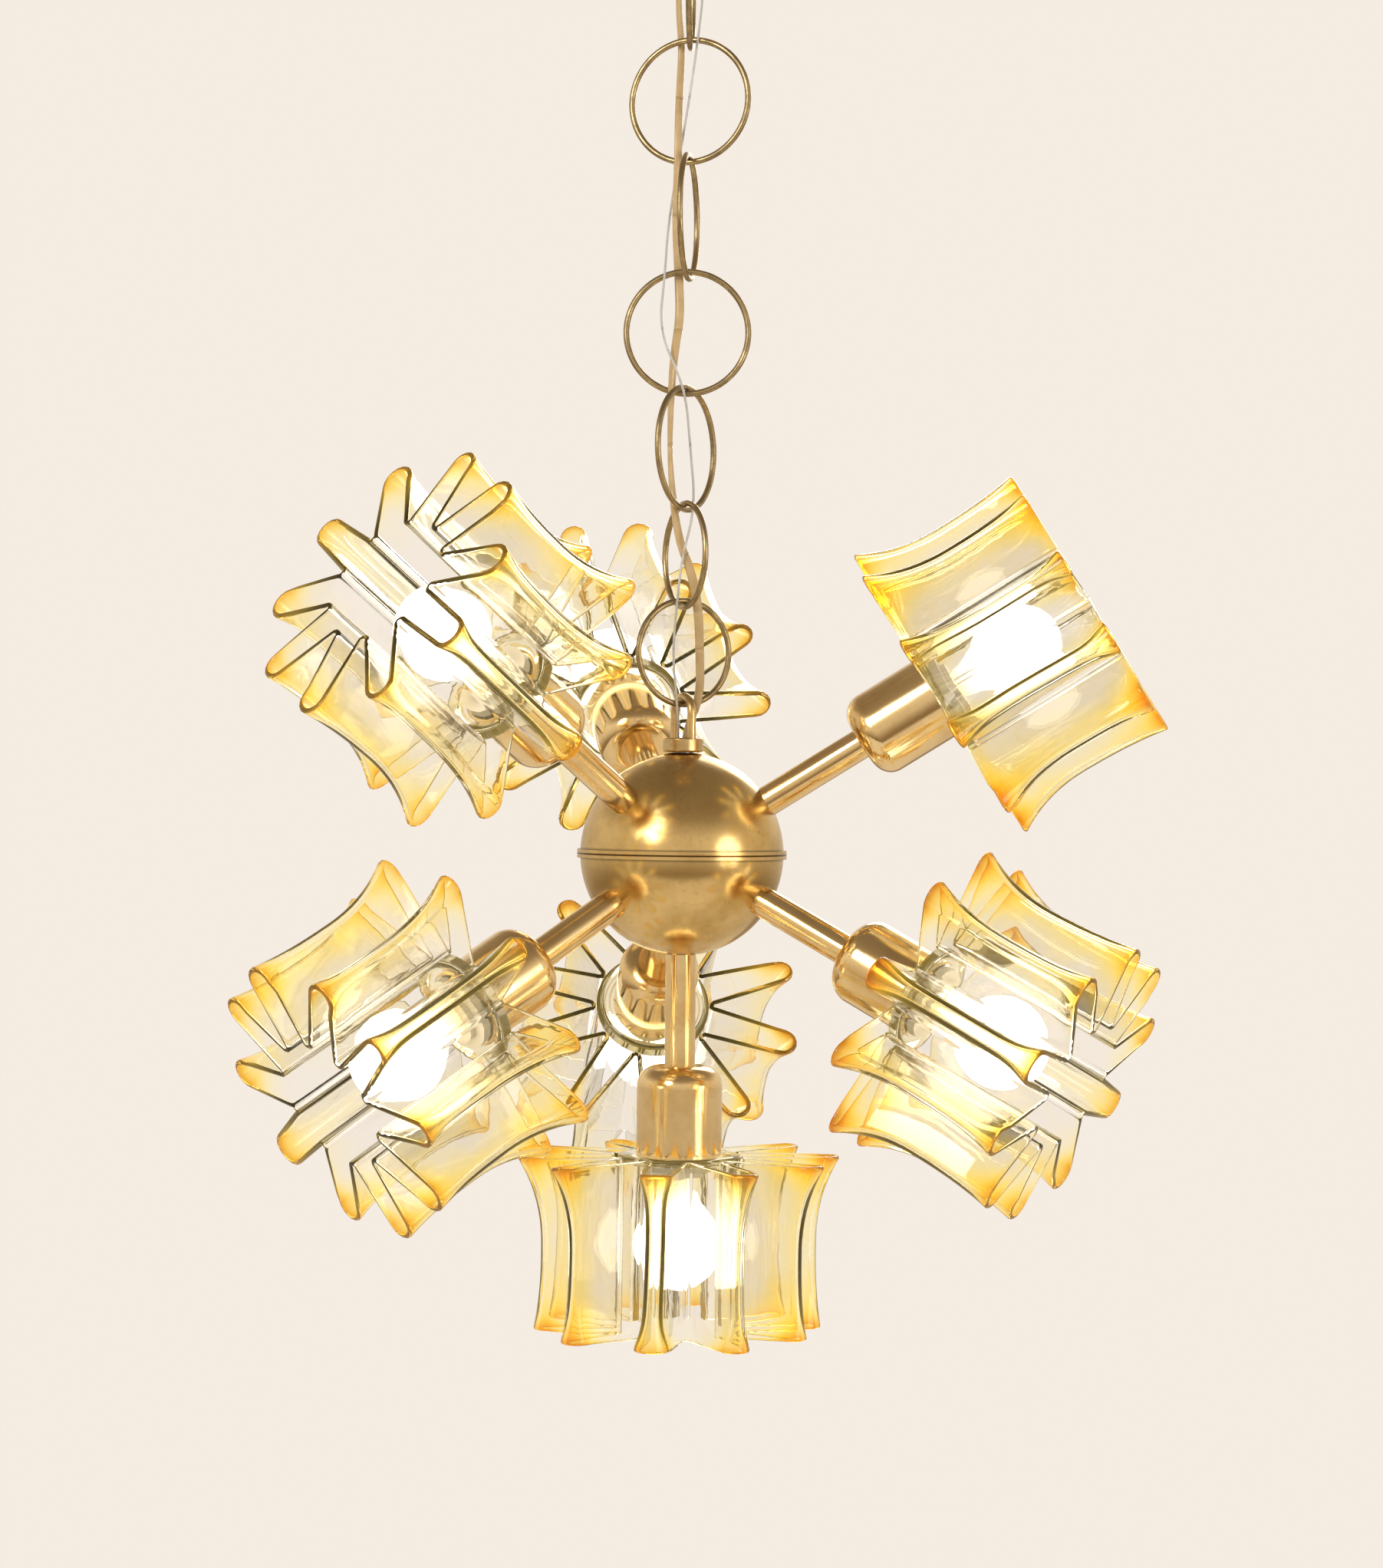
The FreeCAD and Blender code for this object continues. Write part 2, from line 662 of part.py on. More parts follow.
def pleated_section(height, tip_radius, half_width, inset):
    # closed outline round the axis; inset 0 is the outer face, otherwise the face on the lamp's side
    count = int(size("pleats"))
    valley = size("valley_radius")
    valley_half = size("valley_half_width")
    points = []
    for pleat in range(count):
        middle = 2 * math.pi * pleat / count
        groove = middle + math.pi / count
        if inset:
            corners = [
                (middle, tip_radius - 1.6 * inset, -max(half_width - inset, 0.8)),
                (middle, tip_radius - 1.6 * inset, max(half_width - inset, 0.8)),
                (groove, valley - inset, -valley_half - inset),
                (groove, valley - inset, valley_half + inset),
            ]
        else:
            corners = [
                (middle, tip_radius - 0.6 * half_width, -half_width),
                (middle, tip_radius, -0.45 * half_width),
                (middle, tip_radius, 0.45 * half_width),
                (middle, tip_radius - 0.6 * half_width, half_width),
                (groove, valley, -valley_half),
                (groove, valley, valley_half),
            ]
        for angle, radius, side in corners:
            radial = Vector(math.cos(angle), math.sin(angle), 0)
            across = Vector(-math.sin(angle), math.cos(angle), 0)
            points.append(radial * radius + across * side + Vector(0, 0, height))
    return Part.makePolygon(points + points[:1])


def pleated_glass():
    length = size("glass_length")
    stations = [
        (0.0, size("inner_end_radius"), size("end_half_width")),
        (0.3, size("waist_radius") + 1.5, size("waist_half_width") + 0.6),
        (0.72, size("waist_radius"), size("waist_half_width")),
        (1.0, size("outer_end_radius"), size("end_half_width")),
    ]
    outer = []
    inner = []
    for share, tip_radius, half_width in stations:
        outer.append(pleated_section(share * length, tip_radius, half_width, 0))
        inner_height = max(share * length, size("glass_floor"))
        if share == 1.0:
            inner_height = length
        inner.append(pleated_section(inner_height, tip_radius, half_width, size("glass_wall")))
    body = Part.makeLoft(outer, True, True)
    hollow = Part.makeLoft(inner, True, True)
    glass = body.cut(hollow)
    hole = Part.makeCylinder(size("holder_diameter") / 2 + size("bore_clearance"), size("glass_floor") * 2,
                             Vector(0, 0, -size("glass_floor") / 2))
    return glass.cut(hole)


crossbar()
canopy()
ceiling_nipple()
loop_turn = Rotation(Vector(0, 0, 1), ring_turn[7] + 90)
stirrup_loop("canopy_loop", Placement(Vector(0, 0, canopy_collar_bottom), loop_turn))
canopy_terminal_block()
chain()
loop_turn = Rotation(Vector(0, 0, 1), ring_turn[1] + 90).multiply(Rotation(Vector(1, 0, 0), 180))
stirrup_loop("hanging_loop", Placement(ball_centre + Vector(0, 0, ball_radius + size("collar_height")), loop_turn))
cord("flex", flex_route, size("flex_diameter"))
cord("earth_wire", earth_route, size("earth_diameter"))
hemisphere("upper_hemisphere", True)
hemisphere("lower_hemisphere", False)
centre_rod()
arm_rods()
rod_nuts()
terminal_block()
lamp_wires()
lampholders()
shade_rings()
glass = pleated_glass()
for arm in arm_names:
    arm_tube(arm)
    socket_cup(arm)
    bulb(arm)
    turn = Placement(Vector(0, 0, 0), Rotation(Vector(0, 0, 1), size("shade_turn_" + arm)))
    node("glass_shade_" + arm, solid("glass_shade", glass, along(arm_place[arm], glass_start).multiply(turn)))

doc.recompute()

for thing in doc.Objects:
    if "Invalid" in thing.State or "Error" in thing.State:
        raise RuntimeError("%s failed: %s" % (thing.Label, thing.State))
for name, part in nodes.items():
    if part.Shape.isNull() or not part.Shape.isValid():
        raise RuntimeError(name + " has no valid shape")

os.makedirs("parts", exist_ok=True)
for name, part in nodes.items():
    part.Shape.exportStep("parts/%s.step" % name)
print("ball centre height %.3f, %d nodes" % (ball_height, len(nodes)))
for number in range(7, 0, -1):
    print("ring %d centre %.3f, mean radius %.2f" % (number, ring_centre[number], ring_mean_radius[number]))
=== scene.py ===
# Sputnik chandelier with seven pleated amber shades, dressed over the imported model. Metres throughout.
import bmesh
import bpy
import json
import math
import random

from mathutils import Matrix, Vector


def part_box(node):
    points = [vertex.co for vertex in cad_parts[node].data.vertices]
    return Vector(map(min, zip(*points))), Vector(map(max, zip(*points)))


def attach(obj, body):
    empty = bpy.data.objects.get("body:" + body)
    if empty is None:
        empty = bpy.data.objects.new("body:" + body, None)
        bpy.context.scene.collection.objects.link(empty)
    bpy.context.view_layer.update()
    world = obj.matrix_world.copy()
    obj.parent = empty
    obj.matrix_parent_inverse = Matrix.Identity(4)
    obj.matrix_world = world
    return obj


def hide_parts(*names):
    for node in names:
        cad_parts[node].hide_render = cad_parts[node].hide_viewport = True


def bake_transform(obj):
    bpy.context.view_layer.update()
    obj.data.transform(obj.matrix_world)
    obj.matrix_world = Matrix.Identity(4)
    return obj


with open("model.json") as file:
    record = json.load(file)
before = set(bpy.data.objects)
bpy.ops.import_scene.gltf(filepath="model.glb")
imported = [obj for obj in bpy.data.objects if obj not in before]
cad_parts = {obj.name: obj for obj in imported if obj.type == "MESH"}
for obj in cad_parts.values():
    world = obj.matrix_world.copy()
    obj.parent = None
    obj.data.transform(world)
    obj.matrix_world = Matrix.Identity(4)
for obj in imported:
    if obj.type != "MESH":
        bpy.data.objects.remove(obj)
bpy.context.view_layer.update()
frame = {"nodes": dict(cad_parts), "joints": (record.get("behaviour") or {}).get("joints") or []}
mm = 0.001
armNames = "abcdefg"
joints = {joint["name"]: joint for joint in frame["joints"]}
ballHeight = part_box("lower_hemisphere")[1].z + 0.01 * mm
ballCentre = Vector((0, 0, ballHeight))
armAxis = {arm: Vector(joints["bulb_%s_out" % arm]["axis"]) for arm in armNames}

# photograph: its frame, the ball's centre in it, and the distance that its near and far lamps ask for
photo = {
    "width": 1803,
    "height": 2044,
    "ballAcross": 889,
    "ballDown": 1113,
    "pixelsPerMetre": 2650,
    "distance": 1.5,
    "roll": 0.6,
    "sensor": 36,
}


def addCamera(settings):
    roll = math.radians(settings["roll"])
    across = settings["ballAcross"] - settings["width"] / 2
    down = settings["ballDown"] - settings["height"] / 2
    level = across * math.cos(roll) + down * math.sin(roll)
    drop = down * math.cos(roll) - across * math.sin(roll)
    place = Vector((-level / settings["pixelsPerMetre"], -settings["distance"],
                    ballHeight + drop / settings["pixelsPerMetre"]))
    data = bpy.data.cameras.new("photoCamera")
    data.sensor_fit = "HORIZONTAL"
    data.sensor_width = settings["sensor"]
    data.lens = settings["sensor"] * settings["pixelsPerMetre"] * settings["distance"] / settings["width"]
    camera = bpy.data.objects.new("photoCamera", data)
    bpy.context.scene.collection.objects.link(camera)
    camera.matrix_world = (Matrix.Translation(place) @ Matrix.Rotation(math.radians(90), 4, "X")
                           @ Matrix.Rotation(roll, 4, "Z"))
    bpy.context.scene.camera = camera
    print("camera at", [round(v, 4) for v in place], "lens", round(data.lens, 2))


addCamera(photo)

def meshObject(name, bm):
    mesh = bpy.data.meshes.new(name)
    bm.to_mesh(mesh)
    bm.free()
    piece = bpy.data.objects.new(name, mesh)
    bpy.context.scene.collection.objects.link(piece)
    mesh.shade_smooth()
    return piece


def armMatrix(arm, roll=0.0):
    # the arm's own frame: origin at the ball's centre, Z outwards along the arm
    axis = armAxis[arm]
    if abs(axis.z) > 0.99:
        turn = Matrix.Rotation(math.pi, 4, "Y")
    else:
        turn = (Matrix.Rotation(math.atan2(axis.y, axis.x), 4, "Z")
                @ Matrix.Rotation(math.pi / 2 - math.asin(axis.z), 4, "Y"))
    return Matrix.Translation(ballCentre) @ turn @ Matrix.Rotation(roll, 4, "Z")


def spunMesh(profile, segments):
    # profile: (radius, height) pairs from one end of the axis to the other
    bm = bmesh.new()
    corners = [bm.verts.new((radius, 0, height)) for radius, height in profile]
    chain = [bm.edges.new(pair) for pair in zip(corners, corners[1:])]
    bmesh.ops.spin(bm, geom=corners + chain, cent=(0, 0, 0), axis=(0, 0, 1), angle=2 * math.pi,
                   steps=segments, use_merge=True)
    bmesh.ops.remove_doubles(bm, verts=bm.verts, dist=1e-6)
    bmesh.ops.recalc_face_normals(bm, faces=bm.faces)
    return bm


def newGroup(name, inputs, outputs):
    group = bpy.data.node_groups.new(name, "ShaderNodeTree")
    for label, kind, value in inputs:
        socket = group.interface.new_socket(label, in_out="INPUT", socket_type=kind)
        socket.default_value = value
    for label, kind in outputs:
        group.interface.new_socket(label, in_out="OUTPUT", socket_type=kind)
    return group, group.nodes.new("NodeGroupInput"), group.nodes.new("NodeGroupOutput")


def noiseNode(nodes, links, vector, scale, detail=2.0):
    texture = nodes.new("ShaderNodeTexNoise")
    texture.inputs["Scale"].default_value = scale
    texture.inputs["Detail"].default_value = detail
    links.new(vector, texture.inputs["Vector"])
    return texture


def rangeNode(nodes, links, value, fromRange=(0, 1), toRange=(0, 1)):
    mapped = nodes.new("ShaderNodeMapRange")
    for label, number in zip(("From Min", "From Max", "To Min", "To Max"), (*fromRange, *toRange)):
        mapped.inputs[label].default_value = number
    links.new(value, mapped.inputs["Value"])
    return mapped.outputs["Result"]


def rampNode(nodes, links, value, stops):
    # stops: (position, colour) pairs in order
    ramp = nodes.new("ShaderNodeValToRGB")
    elements = ramp.color_ramp.elements
    elements[0].position, elements[0].color = stops[0]
    elements[1].position, elements[1].color = stops[-1]
    for position, colour in stops[1:-1]:
        elements.new(position).color = colour
    links.new(value, ramp.inputs["Fac"])
    return ramp.outputs["Color"]


def bumpNode(nodes, links, height, strength, distance):
    bump = nodes.new("ShaderNodeBump")
    bump.inputs["Strength"].default_value = strength
    bump.inputs["Distance"].default_value = distance
    links.new(height, bump.inputs["Height"])
    return bump.outputs["Normal"]


def mathNode(nodes, links, operation, values, clamp=False):
    # values: a socket is linked, a number is set
    maths = nodes.new("ShaderNodeMath")
    maths.operation = operation
    maths.use_clamp = clamp
    for entry, value in zip(maths.inputs, values):
        if isinstance(value, (int, float)):
            entry.default_value = value
        else:
            links.new(value, entry)
    return maths.outputs[0]


def makePatina():
    # slow clouding, small spots and fine rubbing marks, for every metal
    group, entry, out = newGroup("metalPatina", [
        ("Vector", "NodeSocketVector", (0, 0, 0)),
        ("Bright", "NodeSocketColor", (1, 1, 1, 1)),
        ("Dull", "NodeSocketColor", (0.5, 0.5, 0.5, 1)),
        ("Cloud Scale", "NodeSocketFloat", 30),
        ("Spots", "NodeSocketFloat", 0.3),
        ("Roughness Low", "NodeSocketFloat", 0.15),
        ("Roughness High", "NodeSocketFloat", 0.35),
    ], [("Color", "NodeSocketColor"), ("Roughness", "NodeSocketFloat"), ("Height", "NodeSocketFloat")])
    nodes, links = group.nodes, group.links
    vector = entry.outputs["Vector"]
    cloud = noiseNode(nodes, links, vector, 1, 6)
    cloud.inputs["Roughness"].default_value = 0.6
    links.new(entry.outputs["Cloud Scale"], cloud.inputs["Scale"])
    clouding = rangeNode(nodes, links, cloud.outputs["Fac"], (0.38, 0.68))
    spots = noiseNode(nodes, links, vector, 420, 3)
    spotting = rangeNode(nodes, links, spots.outputs["Fac"], (0.56, 0.74))
    spotAmount = mathNode(nodes, links, "MULTIPLY", (spotting, entry.outputs["Spots"]))
    dulling = mathNode(nodes, links, "ADD", (clouding, spotAmount), clamp=True)
    blendColour = nodes.new("ShaderNodeMix")
    blendColour.data_type = "RGBA"
    links.new(dulling, blendColour.inputs["Factor"])
    links.new(entry.outputs["Bright"], blendColour.inputs["A"])
    links.new(entry.outputs["Dull"], blendColour.inputs["B"])
    roughMix = nodes.new("ShaderNodeMix")
    links.new(dulling, roughMix.inputs["Factor"])
    links.new(entry.outputs["Roughness Low"], roughMix.inputs["A"])
    links.new(entry.outputs["Roughness High"], roughMix.inputs["B"])
    rub = noiseNode(nodes, links, vector, 900, 2)
    links.new(blendColour.outputs["Result"], out.inputs["Color"])
    links.new(roughMix.outputs["Result"], out.inputs["Roughness"])
    links.new(rub.outputs["Fac"], out.inputs["Height"])
    return group


patina = makePatina()
fineBump = 0.1 * mm


def newMaterial(name):
    material = bpy.data.materials.new(name)
    material.use_nodes = True
    tree = material.node_tree
    return material, tree.nodes, tree.links, tree.nodes["Principled BSDF"]


def placeGroup(nodes, group, values):
    box = nodes.new("ShaderNodeGroup")
    box.node_tree = group
    for label, value in values.items():
        box.inputs[label].default_value = value
    return box


def metalMaterial(name, look):
    material, nodes, links, shader = newMaterial(name)
    coordinates = nodes.new("ShaderNodeTexCoord")
    wear = placeGroup(nodes, patina, {
        "Bright": look["bright"], "Dull": look["dull"], "Cloud Scale": look["cloudScale"],
        "Spots": look["spots"], "Roughness Low": look["roughLow"], "Roughness High": look["roughHigh"],
    })
    links.new(coordinates.outputs["Object"], wear.inputs["Vector"])
    links.new(wear.outputs["Color"], shader.inputs["Base Color"])
    links.new(wear.outputs["Roughness"], shader.inputs["Roughness"])
    links.new(bumpNode(nodes, links, wear.outputs["Height"], look["bump"], fineBump), shader.inputs["Normal"])
    shader.inputs["Metallic"].default_value = 1.0
    return material


metalLooks = {
    "ballBrass": {"bright": (0.78, 0.55, 0.23, 1), "dull": (0.55, 0.37, 0.14, 1), "cloudScale": 28,
                  "spots": 0.35, "roughLow": 0.16, "roughHigh": 0.30, "bump": 0.12},
    "armBrass": {"bright": (0.93, 0.70, 0.36, 1), "dull": (0.78, 0.54, 0.24, 1), "cloudScale": 45,
                 "spots": 0.2, "roughLow": 0.10, "roughHigh": 0.20, "bump": 0.05},
    "fittingBrass": {"bright": (0.78, 0.56, 0.27, 1), "dull": (0.55, 0.39, 0.18, 1), "cloudScale": 60,
                     "spots": 0.3, "roughLow": 0.18, "roughHigh": 0.34, "bump": 0.1},
    "chainBrass": {"bright": (0.50, 0.38, 0.20, 1), "dull": (0.29, 0.22, 0.12, 1), "cloudScale": 120,
                   "spots": 0.5, "roughLow": 0.26, "roughHigh": 0.46, "bump": 0.2},
    "zincSteel": {"bright": (0.70, 0.68, 0.64, 1), "dull": (0.50, 0.48, 0.45, 1), "cloudScale": 80,
                  "spots": 0.4, "roughLow": 0.28, "roughHigh": 0.45, "bump": 0.15},
}
metals = {name: metalMaterial(name, look) for name, look in metalLooks.items()}


# painted shade in the seam: how bright the brass stays at each share of the seam's reach from the ball's
# equator
seamShadeReach = 4 * mm
seamShadeTones = [(0.07, (0.16, 0.10, 0.05, 1)), (0.14, (1.0, 1.0, 1.0, 1)), (0.46, (1.0, 1.0, 1.0, 1)),
             (0.54, (0.38, 0.38, 0.38, 1)), (0.64, (0.62, 0.62, 0.62, 1)), (0.80, (1, 1, 1, 1))]


def addPaintedSeamShade(material):
    # painted shade: dark lines in the ball's seam and along both edges of its bead, where shade falls
    nodes, links = material.node_tree.nodes, material.node_tree.links
    shader = nodes["Principled BSDF"]
    base = shader.inputs["Base Color"].links[0].from_socket
    coordinates = nodes.new("ShaderNodeTexCoord")
    split = nodes.new("ShaderNodeSeparateXYZ")
    links.new(coordinates.outputs["Object"], split.inputs["Vector"])
    offset = mathNode(nodes, links, "SUBTRACT", (split.outputs["Z"], ballHeight))
    distance = mathNode(nodes, links, "ABSOLUTE", (offset,))
    share = rangeNode(nodes, links, distance, (0, seamShadeReach))
    darkened = nodes.new("ShaderNodeMix")
    darkened.data_type = "RGBA"
    darkened.blend_type = "MULTIPLY"
    darkened.inputs["Factor"].default_value = 1.0
    links.new(base, darkened.inputs["A"])
    links.new(rampNode(nodes, links, share, seamShadeTones), darkened.inputs["B"])
    links.new(darkened.outputs["Result"], shader.inputs["Base Color"])


# painted shade in the ball's seam and along its bead
addPaintedSeamShade(metals["ballBrass"])


def mouldedMaterial(name, pale, shade, rough):
    # moulded or sleeved plastic: faint clouding and a slight orange-peel
    material, nodes, links, shader = newMaterial(name)
    spot = nodes.new("ShaderNodeTexCoord").outputs["Object"]
    cloud = noiseNode(nodes, links, spot, 90, 4)
    tone = rampNode(nodes, links, cloud.outputs["Fac"], [(0.3, shade), (0.7, pale)])
    links.new(tone, shader.inputs["Base Color"])
    peel = noiseNode(nodes, links, spot, 1200)
    links.new(bumpNode(nodes, links, peel.outputs["Fac"], 0.08, fineBump), shader.inputs["Normal"])
    shader.inputs["Roughness"].default_value = rough
    return material


creamPlastic = mouldedMaterial("creamPlastic", (0.87, 0.83, 0.73, 1), (0.80, 0.75, 0.64, 1), 0.38)
leadSleeve = mouldedMaterial("leadSleeve", (0.78, 0.76, 0.70, 1), (0.66, 0.64, 0.58, 1), 0.5)
earthSleeve = mouldedMaterial("earthSleeve", (0.62, 0.60, 0.55, 1), (0.45, 0.43, 0.40, 1), 0.25)
flexSleeve = mouldedMaterial("flexSleeve", (0.66, 0.47, 0.24, 1), (0.50, 0.34, 0.15, 1), 0.22)


def bulbMaterial():
    # the "glow" attribute runs from the dark neck to the lit globe
    material, nodes, links, shader = newMaterial("frostedLamp")
    spot = nodes.new("ShaderNodeTexCoord").outputs["Object"]
    frost = noiseNode(nodes, links, spot, 700)
    links.new(bumpNode(nodes, links, frost.outputs["Fac"], 0.1, fineBump), shader.inputs["Normal"])
    glow = nodes.new("ShaderNodeAttribute")
    glow.attribute_name = "glow"
    light = rampNode(nodes, links, glow.outputs["Fac"], [(0, (0.30, 0.21, 0.10, 1)), (1, (1.0, 0.90, 0.70, 1))])
    links.new(light, shader.inputs["Emission Color"])
    shader.inputs["Base Color"].default_value = (0.93, 0.91, 0.86, 1)
    shader.inputs["Roughness"].default_value = 0.55
    shader.inputs["Emission Strength"].default_value = 3.6
    return material


# from clear glass to the deepest amber, and a painted glow as emission for the light that the lamps leave in it
amberTones = [(0.0, (0.99, 0.975, 0.94, 1)), (0.2, (0.97, 0.92, 0.66, 1)), (0.45, (0.94, 0.76, 0.26, 1)),
              (0.7, (0.82, 0.50, 0.07, 1)), (1.0, (0.46, 0.16, 0.015, 1))]
amberPaintedGlow = [(0.0, (0.0, 0.0, 0.0, 1)), (0.35, (0.070, 0.046, 0.005, 1)), (1.0, (0.13, 0.060, 0.003, 1))]


def glassMaterial():
    # clear in the middle, honey to orange at the rims and along the ridges
    material, nodes, links, shader = newMaterial("amberGlass")
    amber = nodes.new("ShaderNodeAttribute")
    amber.attribute_name = "amber"
    spot = nodes.new("ShaderNodeTexCoord").outputs["Object"]
    streak = noiseNode(nodes, links, spot, 55, 3)
    spread = rangeNode(nodes, links, streak.outputs["Fac"], toRange=(-0.14, 0.14))
    depth = mathNode(nodes, links, "ADD", (amber.outputs["Fac"], spread), clamp=True)
    ripple = noiseNode(nodes, links, spot, 60)
    normal = bumpNode(nodes, links, ripple.outputs["Fac"], 0.12, 1 * mm)
    links.new(normal, shader.inputs["Normal"])
    # thick glass seen edge-on is darker: the outlines of ridges and rims
    edge = nodes.new("ShaderNodeLayerWeight")
    edge.inputs["Blend"].default_value = 0.35
    links.new(normal, edge.inputs["Normal"])
    outline = rangeNode(nodes, links, edge.outputs["Facing"], (0.45, 1), (0, 0.55))
    outlineDepth = mathNode(nodes, links, "MULTIPLY_ADD", (depth, 0.9, 0.22))
    deepened = mathNode(nodes, links, "MULTIPLY_ADD", (outline, outlineDepth, depth), clamp=True)
    links.new(rampNode(nodes, links, deepened, amberTones), shader.inputs["Base Color"])
    # painted glow: the glass emits faintly where its amber is deepest, though it is no lamp
    links.new(rampNode(nodes, links, depth, amberPaintedGlow), shader.inputs["Emission Color"])
    shader.inputs["Emission Strength"].default_value = 1.0
    shader.inputs["Roughness"].default_value = 0.02
    shader.inputs["IOR"].default_value = 1.45
    shader.inputs["Transmission Weight"].default_value = 1.0
    return material


lampGlow = bulbMaterial()
amberGlass = glassMaterial()

# finishes on the solids that stay
finishes = {
    "upper_hemisphere": metals["ballBrass"],
    "lower_hemisphere": metals["ballBrass"],
    "hanging_loop": metals["fittingBrass"],
    "canopy": metals["fittingBrass"],
    "canopy_loop": metals["fittingBrass"],
    "crossbar": metals["zincSteel"],
    "ceiling_nipple": metals["zincSteel"],
    "nipple_nuts": metals["zincSteel"],
    "centre_rod": metals["zincSteel"],
    "arm_rods": metals["zincSteel"],
    "rod_nuts": metals["zincSteel"],
    "lampholders": creamPlastic,
    "shade_rings": creamPlastic,
    "terminal_block": creamPlastic,
    "canopy_terminal_block": creamPlastic,
    "lamp_wires": leadSleeve,
}
for number in range(1, 8):
    finishes["chain_ring_%d" % number] = metals["chainBrass"]
for arm in armNames:
    finishes["arm_tube_" + arm] = metals["armBrass"]
    finishes["socket_cup_" + arm] = metals["armBrass"]
    finishes["bulb_contact_" + arm] = metals["fittingBrass"]
for name, material in finishes.items():
    solid = frame["nodes"][name]
    solid.data.materials.clear()
    solid.data.materials.append(material)
print("finishes on", len(finishes), "solids")

# pleated glass shades
shade = {
    "start": 148.02 * mm,
    "length": 86.0 * mm,
    "pleats": 10,
    "innerEnd": 79.0 * mm,
    "waist": 67.5 * mm,
    "outerEnd": 70.5 * mm,
    "ridgeHalf": 3.3 * mm,
    "innerBulge": 2.9 * mm,
    "outerBulge": 3.6 * mm,
    "valley": 31.5 * mm,
    "valleyHalf": 2.3 * mm,
    "wall": 2.5 * mm,
    "stations": 24,
    "tipSteps": 8,
    "wallSteps": 5,
    "valleySteps": 5,
    "hole": 13.8 * mm,
    "floor": 3.0 * mm,
    # spreads of the random differences between pleats, angles in degrees
    "radiusSpread": 1.6 * mm,
    "turnSpread": 1.6,
    "leanSpread": 2.5,
    "fatRange": (0.86, 1.14),
    "tintRange": (0.75, 1.2),
    "endInRange": (0.0, 1.2),
    "endOutRange": (-1.6, 0.0),
    # shares of the length over which the colour fades from each end, and from each rim
    "fadeIn": 0.13,
    "fadeOut": 0.15,
    "rimFadeIn": 0.03,
    "rimFadeOut": 0.035,
}
# how each arm's glass is turned about its arm, and how red its inner and outer tips are
shadeTurn = {"a": 25, "b": 2, "c": 3, "d": 11, "e": 16, "f": 0, "g": 29}
innerTint = {"a": 0.85, "b": 0.95, "c": 1.25, "d": 0.85, "e": 0.9, "f": 1.2, "g": 1.0}
outerTint = {"a": 0.8, "b": 0.9, "c": 0.85, "d": 0.95, "e": 0.85, "f": 0.9, "g": 0.85}


def ridgeProfile(share):
    # outer radius and half width of a ridge at a share of the length from the ball's side
    s = shade
    flareIn = max(0.0, 1 - share / 0.5) ** 2.2
    flareOut = max(0.0, (share - 0.55) / 0.45) ** 2.2
    radius = s["waist"] + (s["innerEnd"] - s["waist"]) * flareIn + (s["outerEnd"] - s["waist"]) * flareOut
    bulgeIn = math.exp(-(share / 0.11) ** 1.6)
    bulgeOut = math.exp(-((1 - share) / 0.10) ** 1.6)
    half = s["ridgeHalf"] + s["innerBulge"] * bulgeIn + s["outerBulge"] * bulgeOut
    return radius, half


def ridgeAt(pleat, share):
    # outer radius, half width and angle of one pleat's ridge
    radius, half = ridgeProfile(share)
    radius += pleat["reach"] * (0.6 + 0.4 * math.cos(math.pi * (share - pleat["phase"])))
    return radius, half * pleat["fat"], pleat["angle"] + pleat["lean"] * (share - 0.5)


def compass(angle):
    # unit vectors outwards and sideways at an angle about the arm
    return Vector((math.cos(angle), math.sin(angle))), Vector((-math.sin(angle), math.cos(angle)))


def halfRound(centre, out, side, half, steps):
    # half a circle from side to side; a negative out gives the hollow of a valley
    points = []
    for step in range(steps + 1):
        swing = -math.pi / 2 + math.pi * step / steps
        points.append(centre + out * half * math.cos(swing) + side * half * math.sin(swing))
    return points


def pleatOutline(share, pleats):
    # points of the folded sheet's middle surface at one station, with how near the ridge each one is
    s = shade
    outline = []
    for index, pleat in enumerate(pleats):
        following = pleats[(index + 1) % len(pleats)]
        radius, half, middle = ridgeAt(pleat, share)
        nextRadius, nextHalf, nextMiddle = ridgeAt(following, share)
        if nextMiddle < middle:
            nextMiddle += 2 * math.pi
        out, side = compass(middle)
        nextOut, nextSide = compass(nextMiddle)
        grooveOut, grooveSide = compass((middle + nextMiddle) / 2)
        tip = halfRound(out * (radius - half), out, side, half, s["tipSteps"])
        valley = halfRound(grooveOut * (s["valley"] + s["valleyHalf"]), -grooveOut, grooveSide,
                           s["valleyHalf"], s["valleySteps"])
        nextStart = nextOut * (nextRadius - nextHalf) - nextSide * nextHalf
        walls = [step / (s["wallSteps"] + 1) for step in range(1, s["wallSteps"] + 1)]
        outline += [(point, 1.0, index) for point in tip]
        outline += [(tip[-1].lerp(valley[0], part), 1 - part, index) for part in walls]
        outline += [(point, 0.0, index) for point in valley]
        outline += [(valley[-1].lerp(nextStart, part), part, index) for part in walls]
    return outline


